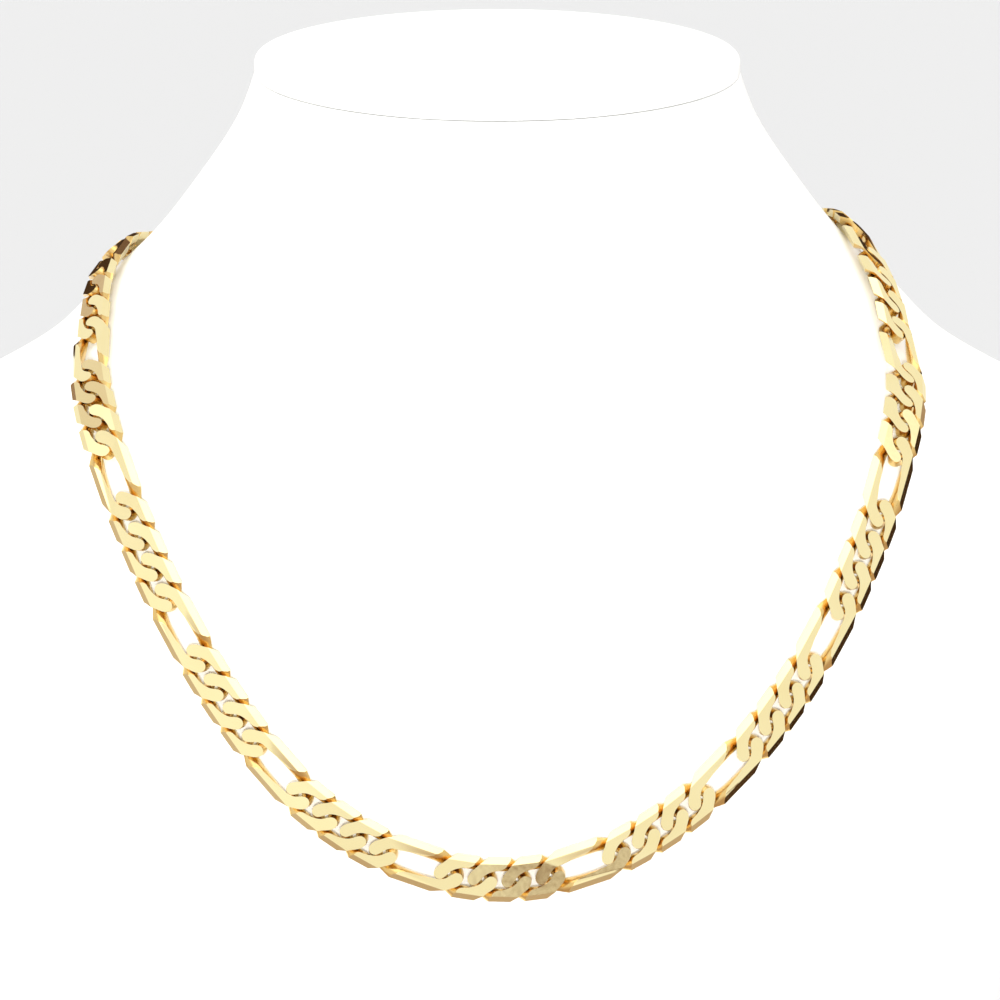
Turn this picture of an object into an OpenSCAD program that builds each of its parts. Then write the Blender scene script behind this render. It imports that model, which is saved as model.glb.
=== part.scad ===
// Figaro chain necklace laid round a plain neck bust.
// The origin is the middle of the bust's flat base. The chest faces -Y and +Z is up.
// A link's own frame: x along the chain, y across it, z out of its flat front face.

/* [Chain] */
// Width of a link across its flat faces
link_width = 7.7; // [7.2:0.1:9]
// Diameter of a link's wire
link_wire = 2.15; // [1.9:0.05:2.2]
// Thickness between the flat cut front and back faces
link_thickness = 2; // [1.95:0.05:2.5]
// Distance from joint to joint of a short link
short_pitch = 5.9; // [5.7:0.1:6.6]
// Distance from joint to joint of a long link
long_pitch = 12; // [10:0.5:15]
// Short links between two long ones
shorts_between = 3; // [1:2:5]
// Long links on each side of the front
longs_each_side = 8; // [7:1:9]
// Short links between the last long one and the clasp's ring
end_shorts = 4; // [3:1:5]
// Turn of a link's ends out of its plane, in degrees
end_twist = 58; // [56:1:58]
// Share of a link's straight sides that stays level between its twisted ends
level_share = 0.5; // [0.45:0.05:0.55]
// Play between two links where they hook
link_play = 0.4; // [0.4:0.05:0.5]
// Clearance between the chain's joints and the bust, under the back faces
lie_gap = 0.7; // [0.6:0.05:0.95]

/* [Clasp] */
// Length of the clasp between the middles of its two end walls
clasp_length = 9.5; // [9:0.5:13]
// Thickness of the clasp
clasp_thickness = 1; // [0.8:0.1:1.1]
// Width of the clasp
clasp_width = 7.4; // [7:0.1:9]
// Wall round the clasp's two slots
clasp_wall = 1.2; // [1:0.1:1.4]
// Width of a slot, along the chain
clasp_slot = 2.6; // [2.4:0.1:3]
// Diameter of a connecting ring's wire
ring_wire = 1; // [0.8:0.05:1.05]
// Play between a ring and the link that it holds
ring_play = 0.3; // [0.3:0.05:0.4]
// Play between a ring and the flat wall of the clasp
clasp_play = 0.65; // [0.6:0.05:0.8]

/* [Bust] */
// Height from the base to the seam under the cap, at the neck's axis
bust_height = 208; // [195:1:225]
// Width across the shoulders
shoulder_width = 226; // [215:1:240]
// Width of the neck at its top
neck_width = 88; // [82:1:94]
// Depth of the neck at its top, from front to back
neck_depth = 78; // [72:1:84]
// Reach of the chest in front of the neck's axis
chest_reach = 68; // [62:1:74]
// Reach of the back behind the neck's axis
back_reach = 46; // [43:1:50]
// Forward lean of the neck's top, in degrees
top_lean = 8.5; // [5:0.5:11]
// Thickness of the cap
cap_thickness = 3; // [2:0.5:6]
// Radius of the cap's upper rim
cap_rim = 1; // [0.5:0.1:1.5]
// Seam between the neck and the cap
seam = 0.2; // [0.15:0.05:0.4]

/* [Hidden] */
BUST_COLOR = "#F8F7F4";
GOLD = "#E9C46A";

// Sections of the bust from its base to its seam. Columns: share of the height, share of
// the way from the neck's width to the shoulders', from the neck's depth to the chest's
// reach and to the back's reach, squareness of the outline, share of the top's lean.
SECTIONS = [
    [0.00, 0.63, 0.90, 0.70, 2.4, 0],
    [0.12, 0.68, 0.97, 0.75, 2.4, 0],
    [0.28, 0.75, 1.00, 0.85, 2.4, 0],
    [0.42, 0.85, 0.96, 0.92, 2.4, 0],
    [0.54, 0.96, 0.88, 0.97, 2.3, 0],
    [0.64, 1.00, 0.75, 1.00, 2.2, 0],
    [0.70, 0.93, 0.64, 1.00, 2.1, 0],
    [0.73, 0.80, 0.57, 0.98, 2.0, 0],
    [0.75, 0.675, 0.52, 0.95, 2.0, 0],
    [0.78, 0.52, 0.45, 0.90, 2.0, 0],
    [0.82, 0.405, 0.36, 0.82, 2.0, 0],
    [0.86, 0.27, 0.26, 0.70, 2.0, 0.10],
    [0.91, 0.15, 0.13, 0.45, 2.0, 0.35],
    [0.96, 0.045, 0.03, 0.15, 2.0, 0.75],
    [1.00, 0.00, 0.00, 0.00, 2.0, 1],
];
SHARE = 0;
WIDE_SHARE = 1;
FRONT_SHARE = 2;
BACK_SHARE = 3;
SQUARENESS = 4;
LEAN_SHARE = 5;

// The chain's way round the bust from the clasp over the left shoulder. Columns: turn
// about the bust's axis, with 0 in front, and the share of the chain's drop below the nape,
// which is negative where the chain rises over the sides of the neck.
ROUTE = [
    [-180, 0.00],
    [-146, 0.01],
    [-123, -0.015],
    [-106, -0.05],
    [-95, -0.06],
    [-86, -0.045],
    [-78.5, -0.005],
    [-71, 0.07],
    [-64.5, 0.135],
    [-60, 0.185],
    [-55.5, 0.25],
    [-50.5, 0.365],
    [-44.5, 0.52],
    [-37, 0.69],
    [-27.5, 0.85],
    [-14.5, 0.96],
    [0, 1.00],
    [14, 0.97],
    [27, 0.87],
    [36.5, 0.735],
    [44, 0.58],
    [50, 0.42],
    [56, 0.26],
    [60, 0.195],
    [65.5, 0.125],
    [71, 0.055],
    [77.5, -0.035],
    [85, -0.085],
    [94, -0.105],
    [105, -0.095],
    [125, -0.05],
    [146, -0.02],
    [180, 0.00],
];
// Height of the chain at the nape, and two first drops to start from, as shares of the height
NAPE = 0.81;
FIRST_DROP = 0.46;
SECOND_DROP = 0.44;

bust_sides = 48;
steps_per_section = 2;
steps_per_route_row = 5;
wire_sides = 6;
end_steps = 5;
secant_steps = 5;
ring_tilt = 45;
clasp_lift = 0.4;
clearance_round_wire = 0.4;

link_lobe = (link_width - link_wire) / 2;
stand_off = link_thickness / 2 + lie_gap;
hook = link_wire + link_play;
short_half = (short_pitch + hook) / 2;
long_half = (long_pitch + hook) / 2;

ring_lobe = (link_wire + ring_wire) / 2 + clearance_round_wire;
ring_to_link = (ring_wire + link_wire) / 2 + ring_play;
ring_to_clasp = (ring_wire + clasp_wall) / 2 + clasp_play;
ring_half = (ring_to_link + ring_to_clasp + (link_wire + clasp_wall) / 2 + ring_play) / 2;
ring_link_side = ring_half - ring_to_link + hook / 2;
ring_clasp_side = ring_half - ring_to_clasp / 2;
clasp_pitch = clasp_length - ring_to_clasp;

// Links of one side from the front's middle link outwards, true for a long one
side_pattern = concat(
    [for (k = [1 : (shorts_between - 1) / 2]) false],
    [for (g = [1 : longs_each_side], k = [0 : g < longs_each_side ? shorts_between : end_shorts]) k == 0]
);
side_count = len(side_pattern);
links = concat([for (k = [side_count - 1 : -1 : 0]) side_pattern[k]], [false], side_pattern);
link_count = len(links);
function pitch(long) = long ? long_pitch : short_pitch;

// Distance of each joint from the clasp's middle, along the chain
first_joint = clasp_pitch / 2 + ring_clasp_side + ring_link_side;
joints = [
    for (k = 0, s = first_joint; k <= link_count; s = s + pitch(links[k]), k = k + 1) s
];
chain_length = joints[link_count] + first_joint;

function unit(v) = v / norm(v);

// Smooth row of a table at the key x, by a cubic through its rows with their own slopes
function row_below(table, x, i = 0) =
    i >= len(table) - 2 || x < table[i + 1][SHARE] ? i : row_below(table, x, i + 1);
function row_slope(table, i) =
    let (a = max(i - 1, 0), b = min(i + 1, len(table) - 1))
    (table[b] - table[a]) / (table[b][SHARE] - table[a][SHARE]);
function smooth_row(table, x) =
    let (
        i = row_below(table, x),
        span = table[i + 1][SHARE] - table[i][SHARE],
        u = (x - table[i][SHARE]) / span
    )
    table[i] * (1 + 2 * u) * (1 - u) * (1 - u)
    + row_slope(table, i) * span * u * (1 - u) * (1 - u)
    + table[i + 1] * u * u * (3 - 2 * u)
    - row_slope(table, i + 1) * span * u * u * (1 - u);

// Point of the bust's skin at a turn about its axis and a height
function skin(turn, height) =
    let (
        row = smooth_row(SECTIONS, height / bust_height),
        side = neck_width / 2 + row[WIDE_SHARE] * (shoulder_width - neck_width) / 2,
        front = neck_depth / 2 + row[FRONT_SHARE] * (chest_reach - neck_depth / 2),
        back = neck_depth / 2 + row[BACK_SHARE] * (back_reach - neck_depth / 2),
        deep = cos(turn) > 0 ? front : back,
        n = row[SQUARENESS],
        sum = pow(abs(sin(turn)) / side, n) + pow(abs(cos(turn)) / deep, n),
        reach = pow(sum, -1 / n),
        y = -reach * cos(turn)
    )
    [reach * sin(turn), y, height + y * tan(top_lean * row[LEAN_SHARE])];

function skin_normal(turn, height) =
    unit(cross(
        skin(turn + 0.5, height) - skin(turn - 0.5, height),
        skin(turn, height + 0.5) - skin(turn, height - 0.5)
    ));

// Place on the route, [point, normal], at a row number and a share of the way to the next
function route_row(i) =
    i < 0 ? ROUTE[len(ROUTE) - 2] - [360, 0]
    : i >= len(ROUTE) ? ROUTE[1] + [360, 0]
    : ROUTE[i];
function route_place(i, u, drop) =
    let (
        a = route_row(i - 1),
        b = route_row(i),
        c = route_row(i + 1),
        d = route_row(i + 2),
        at = b + (c - a) * u / 2 + (a - 2.5 * b + 2 * c - d / 2) * u * u
            + (3 * (b - c) + d - a) * u * u * u / 2,
        height = NAPE * bust_height - drop * at[1],
        out = skin_normal(at[0], height)
    )
    [skin(at[0], height) + out * stand_off, out];
function laid_line(drop) = [
    for (i = [0 : len(ROUTE) - 2], k = [0 : steps_per_route_row - 1])
        route_place(i, k / steps_per_route_row, drop),
    route_place(len(ROUTE) - 1, 0, drop)
];
function distances(line) = [
    for (
        i = 0, s = 0;
        i < len(line);
        i = i + 1, s = s + norm(line[min(i, len(line) - 1)][0] - line[i - 1][0])
    ) s
];
function loop_length(drop) =
    let (d = distances(laid_line(drop)))
    d[len(d) - 1];

// The drop at which the loop is as long as the chain and its clasp, by a few secant steps
function fitted_drop(a, length_a, b, steps) =
    let (length_b = loop_length(b))
    steps == 0 || abs(length_b - chain_length) < 0.001 ? b
    : fitted_drop(b, length_b, b + (chain_length - length_b) * (b - a) / (length_b - length_a), steps - 1);
first_drop = FIRST_DROP * bust_height;
second_drop = SECOND_DROP * bust_height;
line = laid_line(fitted_drop(first_drop, loop_length(first_drop), second_drop, secant_steps));
line_at = distances(line);

// Place on the laid line, [point, normal], at a distance from the clasp's middle
function step_below(s, low, high) =
    let (mid = floor((low + high) / 2))
    high - low <= 1 ? low
    : line_at[mid] <= s ? step_below(s, mid, high)
    : step_below(s, low, mid);
function place(s) =
    let (
        wrapped = s < 0 ? s + line_at[len(line_at) - 1] : s,
        i = step_below(wrapped, 0, len(line) - 1),
        u = (wrapped - line_at[i]) / (line_at[i + 1] - line_at[i])
    )
    line[i] * (1 - u) + line[i + 1] * u;

// Frame of a piece that reaches between two distances along the chain
function frame_between(s0, s1) =
    let (
        a = place(s0),
        b = place(s1),
        x = unit(b[0] - a[0]),
        lean = a[1] + b[1],
        z = unit(lean - x * (lean * x)),
        y = cross(z, x),
        c = (a[0] + b[0]) / 2
    )
    [
        [x[0], y[0], z[0], c[0]],
        [x[1], y[1], z[1], c[1]],
        [x[2], y[2], z[2], c[2]],
        [0, 0, 0, 1],
    ];

// Solid skinned over a stack of rings with equal counts of points, closed at both ends
module stacked(rings) {
    n = len(rings[0]);
    m = len(rings);
    polyhedron(
        points = [for (ring = rings) each ring],
        faces = concat(
            [[for (j = [0 : n - 1]) j]],
            [
                for (i = [0 : m - 2], j = [0 : n - 1])
                    let (a = i * n, b = a + n, next = (j + 1) % n)
                    each [[a + j, b + j, b + next], [a + j, b + next, a + next]]
            ],
            [[for (j = [n - 1 : -1 : 0]) (m - 1) * n + j]]
        )
    );
}

// Closed hoop skinned over rings that follow one another round it
module hoop(rings) {
    n = len(rings[0]);
    m = len(rings);
    polyhedron(
        points = [for (ring = rings) each ring],
        faces = [
            for (i = [0 : m - 1], j = [0 : n - 1])
                let (a = i * n, b = (i + 1) % m * n, next = (j + 1) % n)
                each [[a + j, b + next, b + j], [a + j, a + next, b + next]]
        ]
    );
}

// Middle line of a link in its plane: [point, direction out of the link], round both ends
function link_path(half, rail_steps) =
    let (straight = half - link_lobe)
    [
        for (k = [0 : end_steps])
            let (a = -90 + 180 * k / end_steps)
            [[straight + link_lobe * cos(a), link_lobe * sin(a)], [cos(a), sin(a)]],
        for (k = [1 : rail_steps - 1])
            [[straight * (1 - 2 * k / rail_steps), link_lobe], [0, 1]],
        for (k = [0 : end_steps])
            let (a = 90 + 180 * k / end_steps)
            [[-straight + link_lobe * cos(a), link_lobe * sin(a)], [cos(a), sin(a)]],
        for (k = [1 : rail_steps - 1])
            [[straight * (2 * k / rail_steps - 1), -link_lobe], [0, -1]],
    ];

// Turn of the wire at a place x along the link: none on the level stretch, full at the ends
function twist_at(x, half) =
    let (level = level_share * (half - link_lobe))
    -sign(x) * end_twist * max(0, abs(x) - level) / (half - level);

// Ring of the wire at one place of that line, twisted and cut flat in front and behind
function wire_ring(at, half) =
    let (turn = twist_at(at[0][0], half))
    [
        for (k = [0 : wire_sides - 1])
            let (
                a = 360 * k / wire_sides,
                out = link_wire / 2 * cos(a),
                x = at[0][0] + at[1][0] * out,
                y = at[0][1] + at[1][1] * out,
                z = link_wire / 2 * sin(a),
                raised = y * sin(turn) + z * cos(turn)
            )
            [
                x,
                y * cos(turn) - z * sin(turn),
                max(-link_thickness / 2, min(link_thickness / 2, raised)),
            ]
    ];

module link(long) {
    half = long ? long_half : short_half;
    hoop([for (at = link_path(half, long ? 3 : 2)) wire_ring(at, half)]);
}

module links_from(first, last) {
    for (k = [first : last]) {
        multmatrix(frame_between(joints[k], joints[k + 1])) link(links[k]);
    }
}

module neck_bust() {
    sections = len(SECTIONS) - 1;
    heights = [
        for (i = [0 : sections - 1], k = [0 : steps_per_section - 1])
            let (u = k / steps_per_section)
            SECTIONS[i][SHARE] * (1 - u) + SECTIONS[i + 1][SHARE] * u,
        1,
    ];
    color(BUST_COLOR)
        stacked([
            for (h = heights)
                [for (j = [0 : bust_sides - 1]) skin(360 * j / bust_sides, h * bust_height)]
        ]);
}

module bust_cap() {
    up = [0, -sin(top_lean), cos(top_lean)];
    rim = [for (a = [0 : 30 : 90]) [cap_rim * (1 - cos(a)), cap_thickness - cap_rim * (1 - sin(a))]];
    color(BUST_COLOR)
        stacked([
            for (edge = concat([[0, 0]], rim))
                [
                    for (j = [0 : bust_sides - 1])
                        let (
                            p = skin(360 * j / bust_sides, bust_height),
                            axis = [0, 0, bust_height],
                            inwards = unit(axis - p)
                        )
                        p + inwards * edge[0] + up * (seam + edge[1])
                ]
        ]);
}

module chain_left() {
    color(GOLD) links_from(0, side_count);
}

module chain_right() {
    color(GOLD) links_from(side_count + 1, link_count - 1);
}

// Outline of a slot across the chain, or of the wall round one
module slot(x, radius, reach) {
    for (y = [-reach, reach]) {
        translate([x, y]) circle(radius, $fn = 48);
    }
    translate([x, 0]) square([2 * radius, 2 * reach], center = true);
}

// Flat clasp with a slot at each end for its ring, and a narrower middle
module clasp() {
    inner = clasp_slot / 2;
    outer = inner + clasp_wall;
    reach = clasp_width / 2 - outer;
    slot_x = clasp_length / 2 + clasp_wall / 2 - outer;
    color(GOLD)
        multmatrix(frame_between(-clasp_pitch / 2, clasp_pitch / 2))
            translate([0, 0, clasp_lift - clasp_thickness / 2])
                linear_extrude(clasp_thickness)
                    difference() {
                        union() {
                            slot(-slot_x, outer, reach);
                            slot(slot_x, outer, reach);
                            square([2 * slot_x, clasp_width - 2 * clasp_wall], center = true);
                        }
                        slot(-slot_x, inner, reach);
                        slot(slot_x, inner, reach);
                    }
}

// Oval ring of round wire in its own plane, with its middle at the origin
module oval_ring() {
    straight = ring_half - ring_lobe;
    for (side = [-1, 1]) {
        rotate([0, 0, side > 0 ? -90 : 90])
            translate([0, straight, 0])
                rotate_extrude(angle = 180, $fn = 48)
                    translate([ring_lobe, 0]) circle(ring_wire / 2, $fn = 24);
        translate([-straight, side * ring_lobe, 0])
            rotate([0, 90, 0]) cylinder(h = 2 * straight, r = ring_wire / 2, $fn = 24);
    }
}

// Ring that joins the clasp to the end of the chain, crosswise to the link that it holds
module placed_ring(clasp_joint, link_joint) {
    way = sign(link_joint - clasp_joint);
    middle = clasp_joint + way * ring_clasp_side;
    color(GOLD)
        multmatrix(frame_between(middle - ring_half, middle + ring_half))
            translate([0, 0, clasp_lift])
                rotate([-way * ring_tilt, 0, 0]) oval_ring();
}

module clasp_ring() {
    placed_ring(clasp_pitch / 2, first_joint);
}

module end_ring() {
    placed_ring(-clasp_pitch / 2, -first_joint);
}

neck_bust();
bust_cap();
chain_left();
chain_right();
clasp();
clasp_ring();
end_ring();
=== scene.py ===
"""Figaro chain necklace on a plain white neck bust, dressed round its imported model."""

import logging
import math
import random
from collections.abc import Callable
from dataclasses import dataclass
from enum import Enum

import bpy
import numpy as np
from mathutils import Matrix, Vector


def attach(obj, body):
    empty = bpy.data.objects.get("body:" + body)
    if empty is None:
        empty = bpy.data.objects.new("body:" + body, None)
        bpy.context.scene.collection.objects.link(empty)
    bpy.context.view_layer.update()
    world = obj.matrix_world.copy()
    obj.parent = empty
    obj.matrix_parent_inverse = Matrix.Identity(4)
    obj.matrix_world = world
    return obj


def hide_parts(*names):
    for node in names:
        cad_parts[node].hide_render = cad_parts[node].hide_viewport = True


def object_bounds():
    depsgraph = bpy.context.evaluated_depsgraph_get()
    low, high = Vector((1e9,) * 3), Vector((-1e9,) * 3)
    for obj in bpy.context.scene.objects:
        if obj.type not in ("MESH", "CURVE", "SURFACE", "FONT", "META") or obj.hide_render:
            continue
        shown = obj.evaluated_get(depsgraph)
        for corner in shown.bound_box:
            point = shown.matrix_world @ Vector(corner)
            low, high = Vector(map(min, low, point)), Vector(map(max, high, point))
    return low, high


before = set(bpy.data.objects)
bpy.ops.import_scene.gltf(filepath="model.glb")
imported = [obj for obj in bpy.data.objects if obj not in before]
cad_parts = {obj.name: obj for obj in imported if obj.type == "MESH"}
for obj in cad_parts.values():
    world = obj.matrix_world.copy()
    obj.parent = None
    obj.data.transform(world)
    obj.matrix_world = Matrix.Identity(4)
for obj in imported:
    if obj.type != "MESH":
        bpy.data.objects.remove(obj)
CAD_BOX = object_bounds()

MM = 0.001
BODY = "root"
# The piece that stands for each CAD node
BUST_PIECES = {"neck_bust": "bust_skin", "bust_cap": "bust_lid"}
CHAIN_PIECES = {"chain_left": "figaro_left", "chain_right": "figaro_right"}
CLASP_PIECES = {"clasp": "clasp_plate", "clasp_ring": "ring_left", "end_ring": "ring_right"}
# An edge that turns by more degrees than this is a sharp one
SHARP_ANGLE = 50.0
# Corners nearer to each other than this, in mm, are merged
MERGE_REACH = 0.001
# A corner nearer to a cutting plane than this, in mm, lies on it
CUT_REACH = 0.0001
# A corner nearer to the plane of one ring of the wire than this, in mm, belongs to the ring
RING_REACH = 0.01

Triple = tuple[float, float, float]
log = logging.getLogger("figaro_chain")


class LinkKind(Enum):
    """The two links of a figaro chain; the value is the link's length outside, in mm."""

    SHORT = 11.2
    LONG = 17.3


class Parts(Enum):
    """What is picked of a mesh; the value is where the mesh's data keeps it."""

    VERT = "vertices"
    EDGE = "edges"
    FACE = "polygons"


def linear(hex_colour: str) -> tuple[float, float, float, float]:
    """Turns an sRGB hex colour to linear light, by the standard's own curve.

    Args:
        hex_colour: six hex digits after a hash sign.

    Returns:
        Red, green, blue and an alpha of one.
    """
    parts = [int(hex_colour[i : i + 2], 16) / 255 for i in (1, 3, 5)]
    light = [p / 12.92 if p <= 0.04045 else ((p + 0.055) / 1.055) ** 2.4 for p in parts]
    return (*light, 1.0)


def add_node(
    tree: bpy.types.NodeTree,
    kind: str,
    settings: dict | None = None,
    values: dict | None = None,
    links: dict | None = None,
) -> bpy.types.Node:
    """Adds a node to a tree with its settings, its sockets' values and its links.

    Args:
        tree: the node tree of a material or world.
        kind: the node's type name.
        settings: properties of the node itself, by name.
        values: values of its input sockets, by name or number.
        links: output sockets that feed its input sockets, by name or number.

    Returns:
        The new node.
    """
    node = tree.nodes.new(kind)
    for name, value in (settings or {}).items():
        setattr(node, name, value)
    for key, value in (values or {}).items():
        node.inputs[key].default_value = value
    for key, socket in (links or {}).items():
        tree.links.new(socket, node.inputs[key])
    return node


def per_mm(size: float) -> float:
    """Scale of a texture whose features are this many mm apart."""
    return 1 / (size * MM)


class Swatch:
    """A material in the making. All its patterns lie on Object coordinates, with sizes in mm."""

    def __init__(self, name: str, values: dict[str, object]) -> None:
        """Starts the material.

        Args:
            name: the material's name.
            values: what is the same all over the surface, by the shader's socket names.
        """
        self.material = bpy.data.materials.new(name)
        self.material.use_nodes = True
        self.tree = self.material.node_tree
        self.shader = self.tree.nodes["Principled BSDF"]
        for socket, value in values.items():
            self.shader.inputs[socket].default_value = value
        self.place = add_node(self.tree, "ShaderNodeTexCoord").outputs["Object"]

    def mottle(self, deep: str, bright: str, size: float) -> None:
        """Lets the surface's colour wander softly between two colours.

        Args:
            deep: the darker colour.
            bright: the lighter colour.
            size: how far its patches lie apart.
        """
        patches = add_node(
            self.tree,
            "ShaderNodeTexNoise",
            values={"Scale": per_mm(size), "Detail": 2.0},
            links={"Vector": self.place},
        )
        tint = add_node(
            self.tree,
            "ShaderNodeMix",
            settings={"data_type": "RGBA"},
            values={"A": linear(deep), "B": linear(bright)},
            links={"Factor": patches.outputs["Fac"]},
        )
        self.tree.links.new(tint.outputs["Result"], self.shader.inputs["Base Color"])

    def haze(self, roughness: float, uneven: float, size: float) -> None:
        """Makes the surface's gloss a little uneven.

        Args:
            roughness: the roughness at the middle of its range.
            uneven: how far it goes up and down from there.
            size: how far its patches lie apart.
        """
        patches = add_node(
            self.tree,
            "ShaderNodeTexNoise",
            values={"Scale": per_mm(size), "Detail": 3.0},
            links={"Vector": self.place},
        )
        rough = add_node(
            self.tree,
            "ShaderNodeMapRange",
            values={"To Min": roughness - uneven, "To Max": roughness + uneven},
            links={"Value": patches.outputs["Fac"]},
        )
        self.tree.links.new(rough.outputs["Result"], self.shader.inputs["Roughness"])

    def emboss(self, size: float, depth: float, strength: float, detail: float) -> None:
        """Gives the surface a fine uneven relief, as bump.

        Args:
            size: how far its hills lie apart.
            depth: how high they are.
            strength: the share of the relief that shows.
            detail: how many finer layers lie on its hills.
        """
        hills = add_node(
            self.tree,
            "ShaderNodeTexNoise",
            values={"Scale": per_mm(size), "Detail": detail},
            links={"Vector": self.place},
        )
        bump = add_node(
            self.tree,
            "ShaderNodeBump",
            values={"Strength": strength, "Distance": depth * MM},
            links={"Height": hills.outputs["Fac"]},
        )
        self.tree.links.new(bump.outputs["Normal"], self.shader.inputs["Normal"])


@dataclass(frozen=True)
class GoldPlate:
    """Gold plating over brass, whose colour and gloss waver slightly. Sizes in mm.

    With these values it is diamond cut and buffed: mirror-like, with faint waves that the wheel left.
    """

    name: str = "polished_gold_plate"
    bright: str = "#FBEFBF"
    deep: str = "#F6E4AA"
    roughness: float = 0.09
    uneven: float = 0.04
    plating: float = 9.0  # between the patches of its colour
    haze: float = 0.8  # between the marks of buffing, which are finer in truth, but wouldn't show
    wave: float = 1.6
    wave_depth: float = 0.004

    def material(self) -> bpy.types.Material:
        """Makes the gold's material.

        Returns:
            The material.
        """
        swatch = Swatch(self.name, {"Metallic": 1.0})
        swatch.mottle(self.deep, self.bright, self.plating)
        swatch.haze(self.roughness, self.uneven, self.haze)
        swatch.emboss(self.wave, self.wave_depth, strength=1.0, detail=1.0)
        return swatch.material


# Mirror-like, so that each flat face takes one tone of the room
CUT_GOLD = GoldPlate()
# For the walls of the wire: duller, and a deeper gold that is painted shade, so that the gaps between the
# links look dark
SHADED_WALL_GOLD = GoldPlate(
    name="drawn_gold_plate", bright="#F0D290", deep="#E2BB72", roughness=0.22, uneven=0.07
)
# Tumbled after stamping and bending: a soft gloss, with no clear reflections
TUMBLED_GOLD = GoldPlate(name="tumbled_gold_plate", roughness=0.2)


@dataclass(frozen=True)
class SatinLacquer:
    """White lacquer sprayed on a moulded bust: satin, with a fine orange-peel grain. Sizes in mm."""

    name: str = "satin_white_lacquer"
    light: str = "#FCFCFA"
    shade: str = "#F8F8F6"
    roughness: float = 0.5
    ior: float = 1.45
    coats: float = 60.0  # between the patches of its colour
    grain: float = 0.9
    grain_depth: float = 0.01

    def material(self) -> bpy.types.Material:
        """Makes the lacquer's material.

        Returns:
            The material.
        """
        swatch = Swatch(self.name, {"Roughness": self.roughness, "IOR": self.ior})
        swatch.mottle(self.shade, self.light, self.coats)
        swatch.emboss(self.grain, self.grain_depth, strength=0.5, detail=2.0)
        return swatch.material


@dataclass(frozen=True)
class BackdropPaper:
    """Seamless studio paper: uncoated, matt and nearly without gloss. Sizes in mm."""

    name: str = "pale_studio_paper"
    colour: str = "#CFCFCF"
    roughness: float = 0.95
    gloss: float = 0.1
    tooth: float = 2.0  # between its hills, which are finer in truth, but wouldn't show
    tooth_depth: float = 0.02

    def material(self) -> bpy.types.Material:
        """Makes the paper's material.

        Returns:
            The material.
        """
        even = {
            "Base Color": linear(self.colour),
            "Roughness": self.roughness,
            "Specular IOR Level": self.gloss,
        }
        swatch = Swatch(self.name, even)
        swatch.emboss(self.tooth, self.tooth_depth, strength=0.3, detail=2.0)
        return swatch.material


def only(obj: bpy.types.Object) -> None:
    """Makes one object the only selected and the active one, in object mode.

    Args:
        obj: the object.
    """
    if bpy.context.mode != "OBJECT":
        bpy.ops.object.mode_set(mode="OBJECT")
    bpy.ops.object.select_all(action="DESELECT")
    obj.select_set(True)
    bpy.context.view_layer.objects.active = obj


def edit(obj: bpy.types.Object, parts: Parts = Parts.VERT, action: str = "DESELECT") -> None:
    """Goes into edit mode on one object.

    Args:
        obj: the object.
        parts: what is selected there, vertices, edges or faces.
        action: SELECT for all of it, DESELECT for nothing.
    """
    only(obj)
    bpy.ops.object.mode_set(mode="EDIT")
    bpy.ops.mesh.select_mode(type=parts.name)
    bpy.ops.mesh.select_all(action=action)


def pick(obj: bpy.types.Object, parts: Parts, test: Callable[[bpy.types.bpy_struct], bool]) -> None:
    """Goes into edit mode with the parts of a mesh selected that pass a test.

    Args:
        obj: the object.
        parts: what is tested, vertices, edges or faces.
        test: takes one of them and says whether it is selected.
    """
    edit(obj, parts)
    bpy.ops.object.mode_set(mode="OBJECT")
    for part in getattr(obj.data, parts.value):
        part.select = test(part)
    bpy.ops.object.mode_set(mode="EDIT")


def apply_modifier(obj: bpy.types.Object, kind: str, **settings: object) -> None:
    """Adds a modifier and applies it.

    Args:
        obj: the object.
        kind: the modifier's type name.
        settings: its settings, by name.
    """
    only(obj)
    modifier = obj.modifiers.new(kind.lower(), kind)
    for name, value in settings.items():
        setattr(modifier, name, value)
    bpy.ops.object.modifier_apply(modifier=modifier.name)


def round_edges(obj: bpy.types.Object, width: float) -> None:
    """Rounds an object's sharp edges a little.

    Args:
        obj: the object.
        width: how wide the rounding is, in mm.
    """
    apply_modifier(
        obj,
        "BEVEL",
        width=width * MM,
        segments=2,
        limit_method="ANGLE",
        angle_limit=math.radians(SHARP_ANGLE),
    )


def shade_smooth(obj: bpy.types.Object, degrees: float) -> None:
    """Shades an object smooth, apart from edges that turn more than this many degrees."""
    only(obj)
    bpy.ops.object.shade_smooth_by_angle(angle=math.radians(degrees))


def merged_copy(node: str, name: str) -> bpy.types.Object:
    """Copies a CAD node as a new piece and merges its loose triangles into one skin.

    Args:
        node: the CAD node's name.
        name: the new piece's name.

    Returns:
        The copy, with no parent, material or mark of the node's.
    """
    obj = bpy.data.objects.new(name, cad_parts[node].data.copy())
    bpy.context.scene.collection.objects.link(obj)
    obj.data.materials.clear()
    edit(obj, action="SELECT")
    bpy.ops.mesh.remove_doubles(threshold=MERGE_REACH * MM)
    bpy.ops.mesh.customdata_custom_splitnormals_clear()
    bpy.ops.object.mode_set(mode="OBJECT")
    return obj


def hand_in(obj: bpy.types.Object, node: str) -> bpy.types.Object:
    """Lets a finished and dressed piece stand for its CAD node.

    Args:
        obj: the finished piece, with its place in its mesh.
        node: the CAD node that it replaces.

    Returns:
        The piece.
    """
    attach(obj, BODY)
    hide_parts(node)
    return obj


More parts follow.
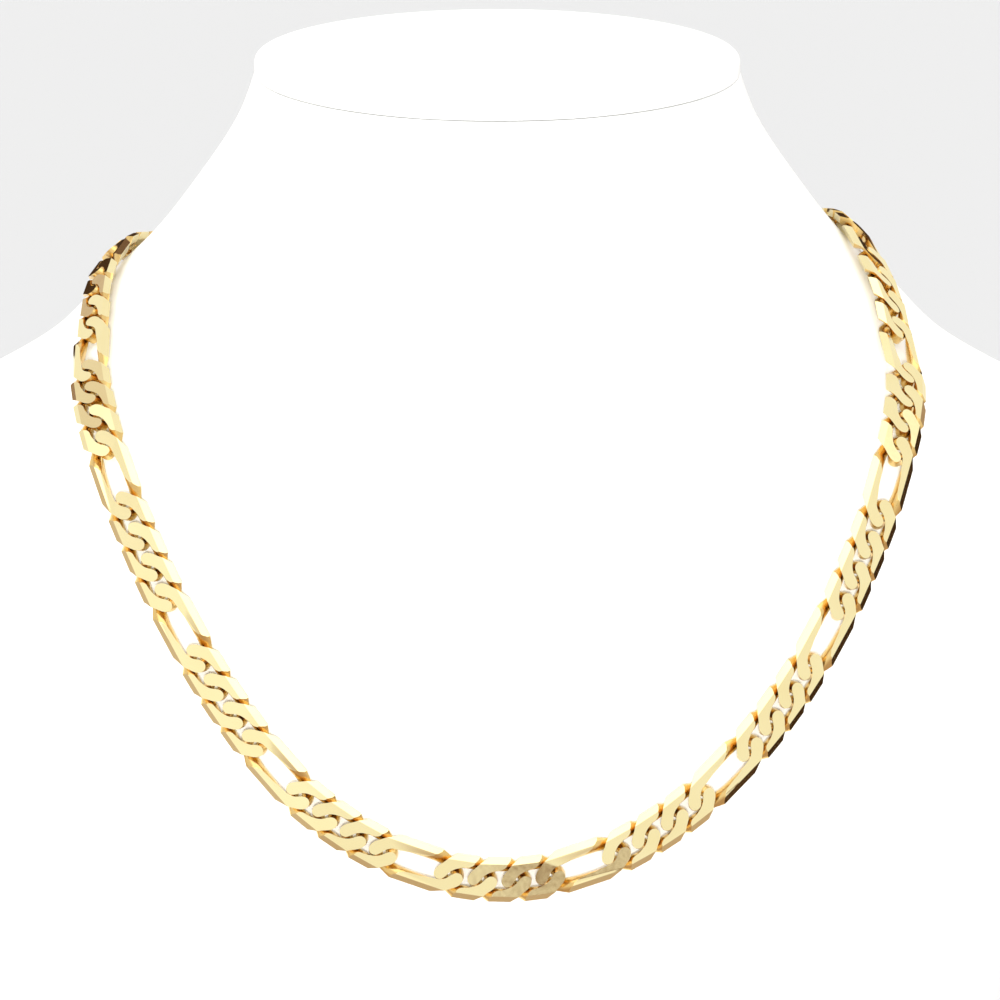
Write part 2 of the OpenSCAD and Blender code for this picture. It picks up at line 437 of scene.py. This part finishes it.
@dataclass
class Bust:
    """The neck bust and its cap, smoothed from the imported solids. Sizes in mm and degrees."""

    finish: SatinLacquer = SatinLacquer()
    edge_round: float = 0.25
    levels: int = 2  # of subdivision
    quad_bend: float = 40.0  # most that two triangles bend that become one face
    quad_skew: float = 60.0  # most that this face is askew

    def build(self) -> list[bpy.types.Object]:
        """Makes the bust's skin and its cap.

        Returns:
            Both pieces.
        """
        lacquer = self.finish.material()
        pieces = []
        for node, name in BUST_PIECES.items():
            obj = self._smoothed(node, name)
            obj.data.materials.append(lacquer)
            pieces.append(hand_in(obj, node))
        return pieces

    def _smoothed(self, node: str, name: str) -> bpy.types.Object:
        """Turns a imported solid's sections into a smooth skin with crisp, slightly rounded ends.

        Args:
            node: the CAD node.
            name: the piece's name.

        Returns:
            The piece.
        """
        obj = merged_copy(node, name)
        edit(obj, Parts.FACE, action="SELECT")
        bpy.ops.mesh.tris_convert_to_quads(
            face_threshold=math.radians(self.quad_bend), shape_threshold=math.radians(self.quad_skew)
        )
        bpy.ops.mesh.normals_make_consistent(inside=False)
        bpy.ops.object.mode_set(mode="OBJECT")
        round_edges(obj, self.edge_round)
        apply_modifier(obj, "SUBSURF", levels=self.levels, render_levels=self.levels)
        shade_smooth(obj, SHARP_ANGLE)
        return obj


@dataclass
class FigaroLink:
    """One twisted link, lying along X with its cut face to +Z. Sizes in mm and degrees."""

    kind: LinkKind
    cut: bpy.types.Material
    # deeper gold for the walls of the wire: painted shade in the gaps between the links
    wall_shade: bpy.types.Material
    lobe: float = 3.1  # radius of the wire's middle line round an end
    wire: float = 3.2  # diameter of the wire along the rails
    end_wire: float = 2.3  # and at the ends
    end_power: int = 4  # the higher, the nearer to its ends the wire grows
    thickness: float = 1.75  # between the flat cuts in front and behind
    twist: float = 64.0  # turn of an end against the middle
    rail_share: float = 0.3  # share of the twist that runs along the whole link
    level_share: float = 0.5  # share of the rails that the rest of the twist leaves out
    bevel_start: float = 2.8  # from the link's middle, across it
    bevel_angle: float = 40.0  # out of the flat cuts
    cut_cosine: float = 0.9998  # of how far a face may lean from a cut that it belongs to
    smooth_angle: float = 28.0
    segments: int = 58  # round the link
    sides: int = 20  # round the wire
    rail_cuts: int = 5  # across each stretched rail

    @property
    def half(self) -> float:
        """Half the length of the wire's middle line."""
        return (self.kind.value - self.end_wire) / 2

    @property
    def straight(self) -> float:
        """Half the length of a straight rail."""
        return self.half - self.lobe

    def build(self) -> bpy.types.Object:
        """Models the link step by step, as by hand: torus, slim ends, rails, twist, flat cuts, bevels.

        Returns:
            The link's object at the origin.
        """
        bpy.ops.object.select_all(action="DESELECT")
        bpy.ops.mesh.primitive_torus_add(
            major_segments=self.segments,
            minor_segments=self.sides,
            major_radius=self.lobe * MM,
            minor_radius=self.wire / 2 * MM,
        )
        obj = bpy.context.object
        obj.name = f"link_{self.kind.name.lower()}"
        self._slim_ends(obj)
        self._pull_apart(obj)
        self._twist(obj)
        self._cut_flat(obj)
        self._dress(obj)
        shade_smooth(obj, self.smooth_angle)
        return obj

    def _slim_ends(self, obj: bpy.types.Object) -> None:
        """Makes the wire slimmer at both ends, where the next link hooks in.

        Args:
            obj: the link, still a torus.
        """
        for step in range(self.segments):
            angle = 2 * math.pi * step / self.segments
            radial = Vector((math.cos(angle), math.sin(angle), 0))
            size = 1 - (1 - self.end_wire / self.wire) * math.cos(angle) ** self.end_power
            pick(obj, Parts.VERT, lambda vertex: self._on_ring(vertex.co, radial))
            bpy.ops.transform.resize(value=(size, size, size), center_override=radial * self.lobe * MM)
        bpy.ops.object.mode_set(mode="OBJECT")

    @staticmethod
    def _on_ring(place: Vector, radial: Vector) -> bool:
        """Says whether a place lies on the ring of the wire in one direction from the torus's middle."""
        return place.dot(radial) > 0 and abs(place.x * radial.y - place.y * radial.x) < RING_REACH * MM

    def _pull_apart(self, obj: bpy.types.Object) -> None:
        """Moves the ring's halves apart and divides the rails that this stretches.

        Args:
            obj: the link, with slim ends.
        """
        for side in (-1, 1):
            pick(obj, Parts.VERT, lambda vertex: vertex.co.x * side > 0)
            bpy.ops.transform.translate(value=(side * self.straight * MM, 0, 0))
        points = obj.data.vertices
        pick(obj, Parts.EDGE, lambda edge: math.prod(points[i].co.x for i in edge.vertices) < 0)
        bpy.ops.mesh.subdivide(number_cuts=self.rail_cuts)
        bpy.ops.object.mode_set(mode="OBJECT")

    def _twist(self, obj: bpy.types.Object) -> None:
        """Twists the link gently along its whole length, and more towards both ends.

        Args:
            obj: the link, with its rails.
        """
        reach = max(v.co.x for v in obj.data.vertices) / MM
        gentle = self.rail_share * self.twist
        self._turn(obj, 2 * gentle * reach / self.half, (0.0, 1.0))
        start = self.level_share * self.straight
        degrees = (self.twist - gentle) * (reach - start) / (self.half - start)
        share = (1 + start / reach) / 2
        self._turn(obj, degrees, (share, 1.0))
        self._turn(obj, degrees, (0.0, 1 - share))

    def _turn(self, obj: bpy.types.Object, degrees: float, limits: tuple[float, float]) -> None:
        """Twists a stretch of the link about its length.

        Args:
            obj: the link.
            degrees: the turn from one end of the stretch to the other.
            limits: where the stretch starts and ends, as shares of the link's length.
        """
        apply_modifier(
            obj,
            "SIMPLE_DEFORM",
            deform_method="TWIST",
            deform_axis="X",
            angle=-math.radians(degrees),
            limits=limits,
        )

    def _cut_flat(self, obj: bpy.types.Object) -> None:
        """Cuts the front and back faces flat and bevels both outer sides.

        Args:
            obj: the link, twisted.
        """
        edit(obj)
        top = self.thickness / 2 * MM
        slant = math.radians(self.bevel_angle)
        for face in (1, -1):
            self._slice(Vector((0, 0, face * top)), Vector((0, 0, face)))
            for side in (1, -1):
                normal = Vector((0, side * math.sin(slant), face * math.cos(slant)))
                self._slice(Vector((0, side * self.bevel_start * MM, face * top)), normal)
        bpy.ops.object.mode_set(mode="OBJECT")

    def _slice(self, point: Vector, normal: Vector) -> None:
        """Cuts off what lies beyond a plane and closes the cut."""
        bpy.ops.mesh.select_all(action="SELECT")
        bpy.ops.mesh.bisect(
            plane_co=point, plane_no=normal, use_fill=True, clear_outer=True, threshold=CUT_REACH * MM
        )

    def _dress(self, obj: bpy.types.Object) -> None:
        """Gives the cut faces their mirror finish, and the walls of the wire a duller gold whose deeper
        colour is painted shade in the gaps between the links.

        Args:
            obj: the link, cut flat.
        """
        obj.data.materials.append(self.cut)
        obj.data.materials.append(self.wall_shade)
        pick(obj, Parts.FACE, self._is_wall)
        obj.active_material_index = 1
        bpy.ops.object.material_slot_assign()
        bpy.ops.object.mode_set(mode="OBJECT")

    def _is_wall(self, face: bpy.types.MeshPolygon) -> bool:
        """Says whether a face is neither one of the flat cuts nor a bevel.

        Args:
            face: a face of the link.

        Returns:
            Whether it is a wall of the wire.
        """
        slant = math.radians(self.bevel_angle)
        y, z = abs(face.normal.y), abs(face.normal.z)
        return max(z, y * math.sin(slant) + z * math.cos(slant)) < self.cut_cosine


LinkSet = dict[LinkKind, bpy.types.Object]


@dataclass
class FigaroChain:
    """The chain: both links modelled once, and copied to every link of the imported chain."""

    finish: GoldPlate = CUT_GOLD
    # the walls' deeper gold is painted shade in the gaps between the links
    walls: GoldPlate = SHADED_WALL_GOLD
    jiggle: float = 1.2  # most degrees that a link tilts, so that not all of them mirror the same
    seed: int = 7

    def build(self) -> list[bpy.types.Object]:
        """Makes the left and the right piece of the chain.

        Returns:
            Both pieces.
        """
        cut, wall_shade = self.finish.material(), self.walls.material()
        chance = random.Random(self.seed)
        patterns = {kind: FigaroLink(kind, cut, wall_shade).build() for kind in LinkKind}
        pieces = []
        for node, name in CHAIN_PIECES.items():
            obj = self._strand(node, name, patterns, chance)
            pieces.append(hand_in(obj, node))
        for pattern in patterns.values():
            bpy.data.objects.remove(pattern)
        return pieces

    def _strand(self, node: str, name: str, patterns: LinkSet, chance: random.Random) -> bpy.types.Object:
        """Copies a link to each packed link of one node and joins them.

        Args:
            node: the CAD node with the links' places.
            name: the piece's name.
            patterns: the two modelled links, by kind.
            chance: the seeded source of the links' small tilts.

        Returns:
            The joined strand.
        """
        links = []
        for place, kind in self._places(node):
            tilt = [math.radians(chance.uniform(-self.jiggle, self.jiggle)) for _ in range(2)]
            turn = Matrix.Rotation(tilt[0], 4, "X") @ Matrix.Rotation(tilt[1], 4, "Y")
            obj = bpy.data.objects.new(name, patterns[kind].data.copy())
            bpy.context.scene.collection.objects.link(obj)
            obj.data.transform(place @ turn)
            links.append(obj)
        only(links[0])
        for link in links:
            link.select_set(True)
        bpy.ops.object.join()
        strand = bpy.context.object
        strand.name = name
        return strand

    def _places(self, node: str) -> list[tuple[Matrix, LinkKind]]:
        """Reads each packed link's place from the frame.

        Args:
            node: the CAD node, a string of loose links.

        Returns:
            For each link its placing matrix and its kind.
        """
        guide = merged_copy(node, "guide")
        edit(guide, action="SELECT")
        bpy.ops.mesh.separate(type="LOOSE")
        bpy.ops.object.mode_set(mode="OBJECT")
        places = []
        for part in list(bpy.context.selected_objects):
            points = np.array([v.co for v in part.data.vertices])
            places.append(self._frame_of(points))
            bpy.data.objects.remove(part)
        return places

    @staticmethod
    def _frame_of(points: np.ndarray) -> tuple[Matrix, LinkKind]:
        """Finds a link's frame and kind from its corners, whose longest axis lies along the chain.

        Args:
            points: the link's corners, a row for each.

        Returns:
            The placing matrix and the kind.
        """
        centre = points.mean(axis=0)
        axes = np.linalg.eigh(np.cov((points - centre).T))[1]
        along, out = Vector(axes[:, 2]), Vector(axes[:, 0])
        if out.dot(Vector((centre[0], centre[1], 0))) < 0:
            out.negate()
        across = out.cross(along)
        place = Matrix((along, across, out)).transposed().to_4x4()
        place.translation = centre
        reach = np.ptp((points - centre) @ np.array(along))
        kind = min(LinkKind, key=lambda k: abs(k.value * MM - reach))
        return place, kind


@dataclass
class ClaspSet:
    """The plain clasp and the two rings that join it to the chain. Sizes in mm and degrees."""

    finish: GoldPlate = TUMBLED_GOLD
    edge_round: float = 0.12
    flat_angle: float = 1.0  # faces that bend by less are one
    smooth_angle: float = 35.0

    def build(self) -> list[bpy.types.Object]:
        """Makes the clasp with softened edges, and both rings.

        Returns:
            The three pieces.
        """
        gold = self.finish.material()
        pieces = []
        for node, name in CLASP_PIECES.items():
            obj = merged_copy(node, name)
            if node == "clasp":
                self._soften(obj)
            shade_smooth(obj, self.smooth_angle)
            obj.data.materials.append(gold)
            pieces.append(hand_in(obj, node))
        return pieces

    def _soften(self, obj: bpy.types.Object) -> None:
        """Rounds the clasp's stamped edges, as tumbling does.

        Args:
            obj: the clasp.
        """
        edit(obj, Parts.FACE, action="SELECT")
        bpy.ops.mesh.dissolve_limited(angle_limit=math.radians(self.flat_angle))
        bpy.ops.object.mode_set(mode="OBJECT")
        round_edges(obj, self.edge_round)


@dataclass(frozen=True)
class MirroredPatch:
    """A soft-edged round part of the room, as bright or dark as polished metal mirrors it."""

    way: Triple  # from the object
    inside: float  # degrees from its middle to where it starts to fade
    outside: float  # and to where it ends
    level: float

    def over(
        self, tree: bpy.types.NodeTree, way: bpy.types.NodeSocket, below: bpy.types.NodeSocket
    ) -> bpy.types.NodeSocket:
        """Lays the patch over what the room shows so far.

        Args:
            tree: the world's node tree.
            way: the direction that is looked in.
            below: the brightness so far.

        Returns:
            The brightness with the patch.
        """
        near = add_node(
            tree,
            "ShaderNodeVectorMath",
            settings={"operation": "DOT_PRODUCT"},
            values={1: Vector(self.way).normalized()},
            links={0: way},
        )
        share = add_node(
            tree,
            "ShaderNodeMapRange",
            settings={"interpolation_type": "SMOOTHSTEP"},
            values={
                "From Min": math.cos(math.radians(self.outside)),
                "From Max": math.cos(math.radians(self.inside)),
            },
            links={"Value": near.outputs["Value"]},
        )
        mixed = add_node(
            tree,
            "ShaderNodeMix",
            values={"B": self.level},
            links={"Factor": share.outputs["Result"], "A": below},
        )
        return mixed.outputs["Result"]


@dataclass(frozen=True)
class Lamp:
    """A distant, soft lamp, which polished metal doesn't mirror."""

    name: str
    way: Triple  # from the object
    strength: float  # in watts per square metre
    spread: float  # degrees across, as it is seen from the object

    def build(self) -> None:
        """Adds the lamp to the scene."""
        light = bpy.data.lights.new(self.name, "SUN")
        light.energy = self.strength
        light.angle = math.radians(self.spread)
        obj = bpy.data.objects.new(self.name, light)
        bpy.context.scene.collection.objects.link(obj)
        obj.rotation_euler = (-Vector(self.way)).to_track_quat("-Z", "Y").to_euler()
        obj.visible_glossy = False


@dataclass
class Room:
    """The light round the object: even, but polished metal mirrors a room with bright and dark parts."""

    even_tint: str = "#FFFFFF"
    even_level: float = 1.25
    floor_level: float = 0.58
    floor_edge: float = -0.7  # sine of the angle above the horizon where the mirrored floor ends
    wall_edge: float = -0.15  # and where the full light of the walls starts
    warm: str = "#FFB478"  # tint of the dark parts
    clear: str = "#FFFEFA"  # tint of the bright parts
    patches: tuple[MirroredPatch, ...] = (
        # A bright wall in front on the left, a greyer part of the ceiling and a dim lower left side
        MirroredPatch(way=(-0.48, -0.87, 0.08), inside=14, outside=20, level=1.12),
        MirroredPatch(way=(-0.62, 0.12, 0.77), inside=8, outside=13, level=0.84),
        MirroredPatch(way=(-0.88, 0.2, -0.4), inside=22, outside=34, level=0.68),
        # A soft box above and in front, with a wing on each side
        MirroredPatch(way=(0.0, -0.5, 0.85), inside=30, outside=43, level=1.85),
        MirroredPatch(way=(0.52, -0.5, 0.69), inside=12, outside=15, level=1.85),
        MirroredPatch(way=(-0.48, -0.52, 0.7), inside=10, outside=13, level=1.85),
        # The dark room behind the bust and on its right
        MirroredPatch(way=(-0.15, 0.97, 0.0), inside=24, outside=42, level=0.06),
        MirroredPatch(way=(0.88, 0.32, -0.25), inside=26, outside=35, level=0.05),
        # Two small dark things in front of the object, which a few links mirror whole
        MirroredPatch(way=(0.03, -0.99, -0.11), inside=2.0, outside=2.6, level=0.28),
        MirroredPatch(way=(-0.61, -0.7, 0.38), inside=1.6, outside=2.5, level=0.4),
    )
    lamps: tuple[Lamp, ...] = (
        # Low and in front, so that it reaches the bust through the links
        Lamp("key_light", way=(0.0, -1.0, 0.03), strength=2.3, spread=8.0),
        # Broad, from above on the left
        Lamp("side_light", way=(-0.55, -0.65, 0.55), strength=0.6, spread=50.0),
    )

    def build(self) -> None:
        """Gives the world its light and adds the lamps."""
        world = bpy.data.worlds.new("studio")
        bpy.context.scene.world = world
        world.use_nodes = True
        tree = world.node_tree
        tree.nodes.clear()
        even = add_node(
            tree,
            "ShaderNodeBackground",
            values={"Color": linear(self.even_tint), "Strength": self.even_level},
        )
        mirrored = self._mirrored(tree)
        ray = add_node(tree, "ShaderNodeLightPath")
        mix = add_node(
            tree,
            "ShaderNodeMixShader",
            links={0: ray.outputs["Is Glossy Ray"], 1: even.outputs[0], 2: mirrored.outputs[0]},
        )
        add_node(tree, "ShaderNodeOutputWorld", links={"Surface": mix.outputs[0]})
        for lamp in self.lamps:
            lamp.build()

    def _mirrored(self, tree: bpy.types.NodeTree) -> bpy.types.Node:
        """Adds the light that only polished metal mirrors.

        Args:
            tree: the world's node tree.

        Returns:
            The node that gives this light.
        """
        way = add_node(tree, "ShaderNodeTexCoord").outputs["Generated"]
        split = add_node(tree, "ShaderNodeSeparateXYZ", links={"Vector": way})
        height = add_node(
            tree,
            "ShaderNodeMapRange",
            values={
                "From Min": self.floor_edge,
                "From Max": self.wall_edge,
                "To Min": self.floor_level,
                "To Max": 1.0,
            },
            links={"Value": split.outputs["Z"]},
        )
        level = height.outputs["Result"]
        for patch in self.patches:
            level = patch.over(tree, way, level)
        tint = add_node(
            tree,
            "ShaderNodeMix",
            settings={"data_type": "RGBA"},
            values={"A": linear(self.warm), "B": linear(self.clear)},
            links={"Factor": level},
        )
        return add_node(
            tree, "ShaderNodeBackground", links={"Color": tint.outputs["Result"], "Strength": level}
        )


@dataclass
class PhotoCamera:
    """The camera at the photograph's angle and distance. Sizes in mm, the pitch in degrees."""

    target: Triple = (0.5, 0.0, 130.0)
    distance: float = 1250.0
    pitch: float = 8.0
    focal_pixels: float = 6868.0
    picture_pixels: float = 1000.0
    sensor: float = 36.0
    nearest: float = 50.0  # where the camera starts to see
    farthest: float = 50000.0  # and where it ends

    def build(self) -> None:
        """Adds the camera and makes it the scene's."""
        data = bpy.data.cameras.new("camera")
        camera = bpy.data.objects.new("camera", data)
        bpy.context.scene.collection.objects.link(camera)
        slope = math.radians(self.pitch)
        back = Vector((0, -math.cos(slope), math.sin(slope)))
        camera.location = (Vector(self.target) + back * self.distance) * MM
        camera.rotation_euler = (math.radians(90) - slope, 0, 0)
        data.sensor_width = self.sensor
        data.lens = self.focal_pixels / self.picture_pixels * self.sensor
        data.clip_start = self.nearest * MM
        data.clip_end = self.farthest * MM
        bpy.context.scene.camera = camera


@dataclass
class Studio:
    """The paper floor, with the room's light and the camera. Sizes in mm."""

    paper: BackdropPaper = BackdropPaper()
    floor_reach: float = 9000.0
    floor_corners: int = 64

    def build(self) -> None:
        """Lays the floor, lights the room and sets up the camera."""
        self._lay_floor()
        Room().build()
        PhotoCamera().build()
        bpy.context.scene.view_settings.view_transform = "Standard"

    def _lay_floor(self) -> None:
        """Lays the pale floor under the bust, out of the metal's sight."""
        bpy.ops.object.select_all(action="DESELECT")
        bpy.ops.mesh.primitive_circle_add(
            vertices=self.floor_corners,
            radius=self.floor_reach * MM,
            fill_type="NGON",
            location=(0, 0, CAD_BOX[0].z),
        )
        floor = bpy.context.object
        floor.name = "floor"
        floor.data.materials.append(self.paper.material())
        floor.visible_glossy = False


def main() -> None:
    """Builds the necklace on its bust, reports each piece, and sets up the studio round them."""
    logging.basicConfig(level=logging.INFO, format="%(name)s: %(message)s")
    for assembly in (Bust(), FigaroChain(), ClaspSet()):
        for piece in assembly.build():
            piece.data.calc_loop_triangles()
            log.info("%s: %d triangles", piece.name, len(piece.data.loop_triangles))
    Studio().build()
    bpy.context.view_layer.update()


if __name__ == "__main__":
    main()
